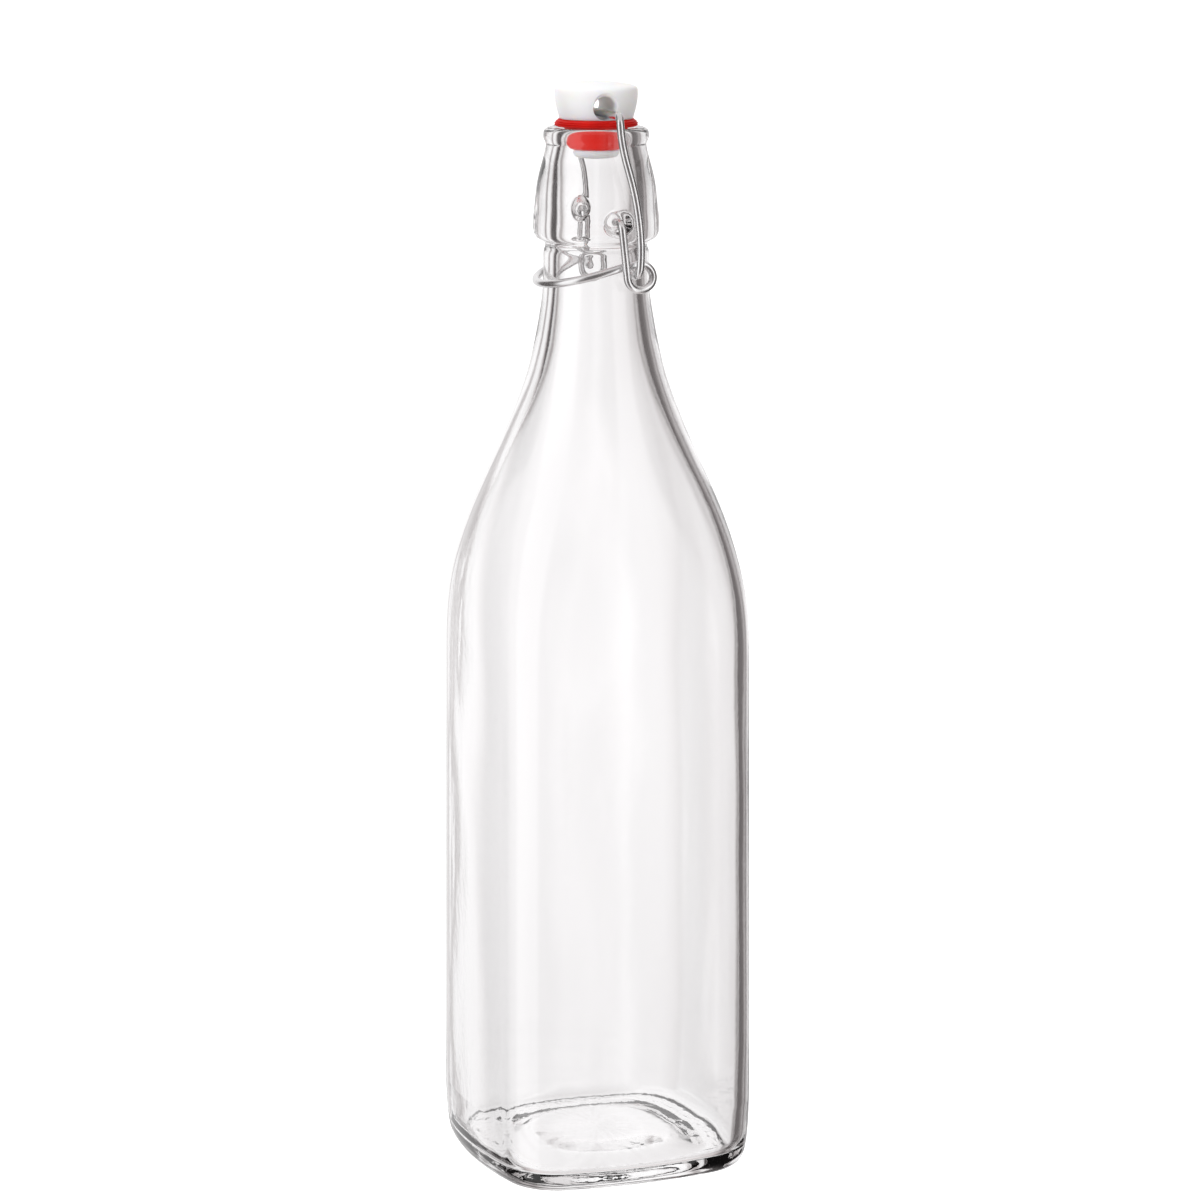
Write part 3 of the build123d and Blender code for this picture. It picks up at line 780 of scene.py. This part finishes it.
world = bpy.data.worlds.new("studio")
bpy.context.scene.world = world
world.use_nodes = True
wt = world.node_tree
wt.nodes.clear()
wo = wt.nodes.new("ShaderNodeOutputWorld")
wb = wt.nodes.new("ShaderNodeBackground")
wg = wt.nodes.new("ShaderNodeTexCoord")
level, _, tint = studio_level(wt, wg.outputs["Generated"])
wl = wt.nodes.new("ShaderNodeLightPath")
seen = wt.nodes.new("ShaderNodeMix")
seen.data_type = "FLOAT"
wt.links.new(wl.outputs["Is Camera Ray"], seen.inputs[0])
wt.links.new(level, seen.inputs[2])
seen.inputs[3].default_value = 1.0
wt.links.new(seen.outputs[0], wb.inputs["Strength"])
hue = wt.nodes.new("ShaderNodeMix")
hue.data_type = "RGBA"
wt.links.new(wl.outputs["Is Camera Ray"], hue.inputs[0])
wt.links.new(tint, hue.inputs[6])
hue.inputs[7].default_value = (1, 1, 1, 1)
wt.links.new(hue.outputs[2], wb.inputs["Color"])
wt.links.new(wb.outputs[0], wo.inputs[0])

# pale floor, one large flat sheet
fv, ff = [], []
G = 40
for i in range(G + 1):
    for j in range(G + 1):
        fv.append((-14 + 28 * i / G, -14 + 28 * j / G, -0.0002))
for i in range(G):
    for j in range(G):
        k = i * (G + 1) + j
        ff.append((k, k + G + 1, k + G + 2, k + 1))
floor = mesh_object("studio_floor", fv, ff, smooth_shade=False)
fm, ft = new_material("pale_floor")
fo = add(ft, "ShaderNodeOutputMaterial")
fd = add(ft, "ShaderNodeBsdfDiffuse")
fd.inputs[0].default_value = (0.86, 0.86, 0.86, 1)
geo = add(ft, "ShaderNodeNewGeometry")
neg = add(ft, "ShaderNodeVectorMath", operation="SCALE")
neg.inputs["Scale"].default_value = -1.0
link(ft, geo.outputs["Incoming"], neg.inputs[0])
lev, yy, tint = studio_level(ft, neg.outputs[0])
steep = smoothed_step(ft, yy, -0.72, -0.93)
lv = add(ft, "ShaderNodeMix", data_type="FLOAT")
link(ft, steep, lv.inputs[0])
painted_foot_shade = math_node(ft, "SUBTRACT", 1.0, math_node(ft, "MULTIPLY", smoothed_step(ft, yy, -0.18, -0.30), 0.075))   # painted shade: the floor's glow a little darker towards the object's foot
link(ft, math_node(ft, "MULTIPLY", lev, painted_foot_shade), lv.inputs[2])
lv.inputs[3].default_value = 0.80
flp = add(ft, "ShaderNodeLightPath")
plain = add(ft, "ShaderNodeEmission")                  # seen directly: a lit sheet with a soft contact shadow
plain.inputs["Strength"].default_value = 0.72
lit = add(ft, "ShaderNodeAddShader")
link(ft, fd.outputs[0], lit.inputs[0])
link(ft, plain.outputs[0], lit.inputs[1])
glow = add(ft, "ShaderNodeEmission")                   # seen through or in the glass and steel: the backdrop's own fall-off, with painted shade towards the object's foot
link(ft, lv.outputs[0], glow.inputs["Strength"])
link(ft, tint, glow.inputs["Color"])
pick = add(ft, "ShaderNodeMixShader")
link(ft, flp.outputs["Is Camera Ray"], pick.inputs[0])
link(ft, glow.outputs[0], pick.inputs[1])
link(ft, lit.outputs[0], pick.inputs[2])
link(ft, pick.outputs[0], fo.inputs["Surface"])
put(floor, fm)

THETA = math.radians(-21.5)
right_v = Vector((math.cos(THETA), math.sin(THETA), 0))
ahead = Vector((-math.sin(THETA), math.cos(THETA), 0))


def area(name, side, back, up, size, power, aim_z=0.2, shape="RECTANGLE", size_y=None, color=(1, 1, 1)):
    """soft box placed by how far it stands to the camera's right, towards the camera and up, in metres"""
    l = bpy.data.lights.new(name, "AREA")
    l.shape, l.size, l.energy, l.color = shape, size, power, color
    if size_y:
        l.size_y = size_y
    o = bpy.data.objects.new(name, l)
    bpy.context.scene.collection.objects.link(o)
    o.location = right_v * side - ahead * back + Vector((0, 0, up))
    d = Vector((0, 0, aim_z)) - o.location
    o.rotation_euler = d.to_track_quat("-Z", "Y").to_euler()
    o.visible_glossy = o.visible_transmission = False   # no hard-edged window in the glass
    return o


area("key_soft_box", -0.95, 0.85, 0.85, 0.7, 9.2, 0.22, size_y=0.9)
area("fill_soft_box", 1.1, 0.9, 0.6, 0.5, 3.0, 0.22, size_y=0.8)
area("top_soft_box", 0.0, -0.1, 1.3, 0.9, 2.6, 0.2, size_y=0.9)

# ====================================================================== camera
SHIFT_Y, CAM_D, CAM_H = -0.6733, 1.300, 0.404
cam_data = bpy.data.cameras.new("camera")
cam = bpy.data.objects.new("camera", cam_data)
bpy.context.scene.collection.objects.link(cam)
cam.location = -ahead * CAM_D + Vector((0, 0, CAM_H))
cam.rotation_euler = (math.radians(90), 0, THETA)
cam_data.lens, cam_data.sensor_width = 130.8, 36.0
cam_data.shift_x = 0.0032
cam_data.clip_start, cam_data.clip_end = 0.05, 50
drv = cam_data.driver_add("shift_y").driver            # the falling front only belongs to the main camera position
drv.type = "SCRIPTED"
for name, kind in (("x", "LOC_X"), ("z", "LOC_Z")):
    v = drv.variables.new()
    v.name, v.type = name, "TRANSFORMS"
    v.targets[0].id, v.targets[0].transform_type = cam, kind
drv.expression = "%.4f if abs(z - %.4f) < 0.002 and abs(x - %.4f) < 0.002 else 0.0" % (SHIFT_Y, CAM_H, cam.location.x)
bpy.context.scene.camera = cam

scene = bpy.context.scene
scene.view_settings.view_transform = "Standard"
scene.view_settings.look = "None"
scene.cycles.max_bounces = 28
scene.cycles.transmission_bounces = 26
scene.cycles.glossy_bounces = 10
scene.cycles.diffuse_bounces = 3
scene.cycles.transparent_max_bounces = 16
scene.cycles.sample_clamp_indirect = 6.0
